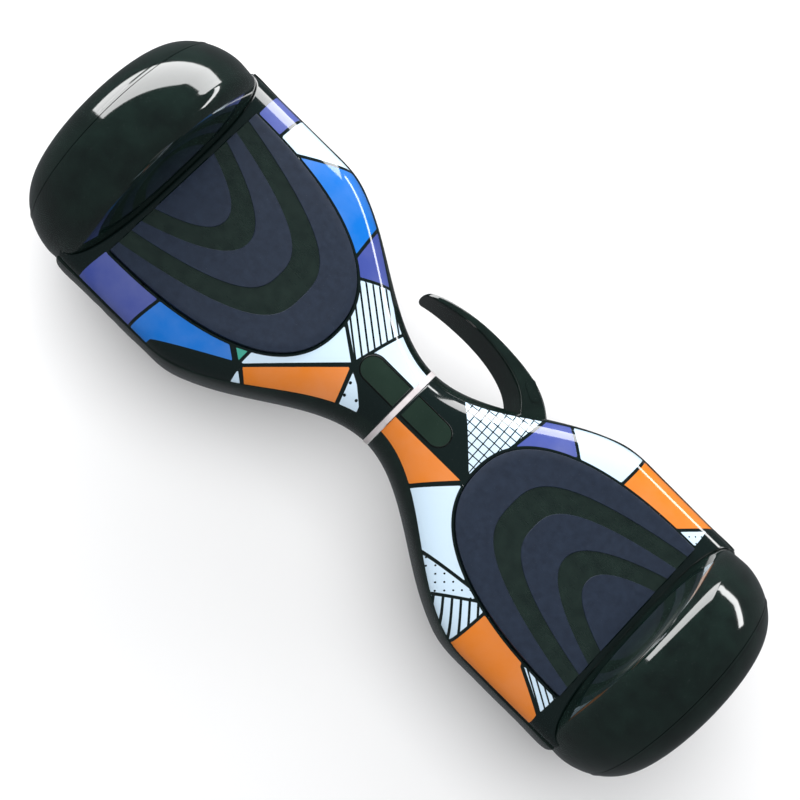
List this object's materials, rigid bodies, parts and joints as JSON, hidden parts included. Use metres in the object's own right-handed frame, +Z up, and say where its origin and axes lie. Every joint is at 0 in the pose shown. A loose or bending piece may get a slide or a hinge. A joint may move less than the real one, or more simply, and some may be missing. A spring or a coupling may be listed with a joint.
{
  "type": "self balancing hoverboard",
  "caption": "Two-wheeled self balancing board: twisting hourglass deck with printed covers, rubber foot pads, hub-motor wheels under glossy fenders and a curved carry handle.",
  "frame": {"origin": "on the floor, under the pivot between the two halves, in line with the axles", "axes": "+X along the axles towards the half with the carry handle, +Y across the board towards the side that the handle is on, +Z up"},
  "size_m": [0.584, 0.1871, 0.1736],
  "materials": {
    "shell_gloss": "glossy injection-moulded black plastic, polished",
    "print_gloss": "glossy plastic cover with a printed pattern of coloured polygons between black lines",
    "pad_rubber": "matte navy rubber mat",
    "smoked_window": "smoked clear plastic",
    "lamp_clear": "clear lamp lens",
    "steel": "zinc-plated steel",
    "cast_alloy": "die-cast aluminium",
    "laminated_steel": "stacked steel laminations",
    "copper_wire": "enamelled copper wire",
    "tyre": "solid rubber tyre",
    "chrome": "bright chrome plate",
    "circuit_green": "coated circuit board",
    "battery_wrap": "heat-shrunk battery wrap",
    "cable_black": "braided cable sleeve",
    "bush_nylon": "self-lubricating nylon",
    "moulded_black": "textured black plastic",
    "cap_rubber": "soft black rubber"
  },
  "bodies": {
    "left_half": {"battery_bracket": "steel", "battery_pack": "battery_wrap", "button_bezel": "moulded_black", "charge_port": "moulded_black", "left_axle": "steel", "left_axle_clamp": "steel", "left_chassis": "cast_alloy", "left_fender": "shell_gloss", "left_fender_trim": "shell_gloss", "left_headlamp_lens": "lamp_clear", "left_lower_shell": "shell_gloss", "left_sensor_board": "circuit_green", "left_shell_screws": "steel", "left_stator": "laminated_steel", "left_status_window": "smoked_window", "left_top_cover": "print_gloss", "left_windings": "copper_wire", "pivot_pins": "steel", "pivot_retaining_ring": "steel", "pivot_trim_ring": "chrome", "pivot_tube": "steel", "wiring_loom": "cable_black"},
    "right_half": {"carry_handle": "shell_gloss", "handle_bolts": "steel", "handle_cover": "shell_gloss", "main_board": "circuit_green", "pivot_bushes": "bush_nylon", "right_axle": "steel", "right_axle_clamp": "steel", "right_chassis": "cast_alloy", "right_fender": "shell_gloss", "right_fender_trim": "shell_gloss", "right_headlamp_lens": "lamp_clear", "right_lower_shell": "shell_gloss", "right_sensor_board": "circuit_green", "right_shell_screws": "steel", "right_stator": "laminated_steel", "right_status_window": "smoked_window", "right_top_cover": "print_gloss", "right_windings": "copper_wire"},
    "left_wheel": {"left_hub_cap": "moulded_black", "left_inner_motor_cover": "cast_alloy", "left_magnet_ring": "steel", "left_motor_cover_screws": "steel", "left_outer_motor_cover": "cast_alloy", "left_rim": "cast_alloy", "left_tyre": "tyre", "left_wheel_bearings": "steel"},
    "right_wheel": {"right_hub_cap": "moulded_black", "right_inner_motor_cover": "cast_alloy", "right_magnet_ring": "steel", "right_motor_cover_screws": "steel", "right_outer_motor_cover": "cast_alloy", "right_rim": "cast_alloy", "right_tyre": "tyre", "right_wheel_bearings": "steel"},
    "left_pad": {"left_foot_pad": "pad_rubber"},
    "right_pad": {"right_foot_pad": "pad_rubber"},
    "power_button": {"power_button": "moulded_black"},
    "port_cap": {"charge_port_cap": "cap_rubber"}
  },
  "joints": [
    {"name": "pivot_twist", "type": "hinge", "parent": "left_half", "child": "right_half", "pos_m": [0, 0, 0.086], "axis": [1, 0, 0], "range_deg": [-12, 12]},
    {"name": "left_wheel_spin", "type": "hinge", "parent": "left_half", "child": "left_wheel", "pos_m": [-0.246, 0, 0.0825], "axis": [1, 0, 0], "continuous": true},
    {"name": "right_wheel_spin", "type": "hinge", "parent": "right_half", "child": "right_wheel", "pos_m": [0.246, 0, 0.0825], "axis": [1, 0, 0], "continuous": true},
    {"name": "left_pad_press", "type": "slide", "parent": "left_half", "child": "left_pad", "axis": [0, 0, -1], "range_m": [0, 0.0012], "stiffness_N_per_m": 9000, "springref_m": -0.0005},
    {"name": "right_pad_press", "type": "slide", "parent": "right_half", "child": "right_pad", "axis": [0, 0, -1], "range_m": [0, 0.0012], "stiffness_N_per_m": 9000, "springref_m": -0.0005},
    {"name": "power_button_press", "type": "slide", "parent": "left_half", "child": "power_button", "axis": [0, 1, 0], "range_m": [0, 0.0015], "stiffness_N_per_m": 800, "springref_m": -0.0005},
    {"name": "port_cap_swing", "type": "hinge", "parent": "left_half", "child": "port_cap", "pos_m": [-0.186, -0.091, 0.0718], "axis": [-1, 0, 0], "range_deg": [0, 75]}
  ]
}
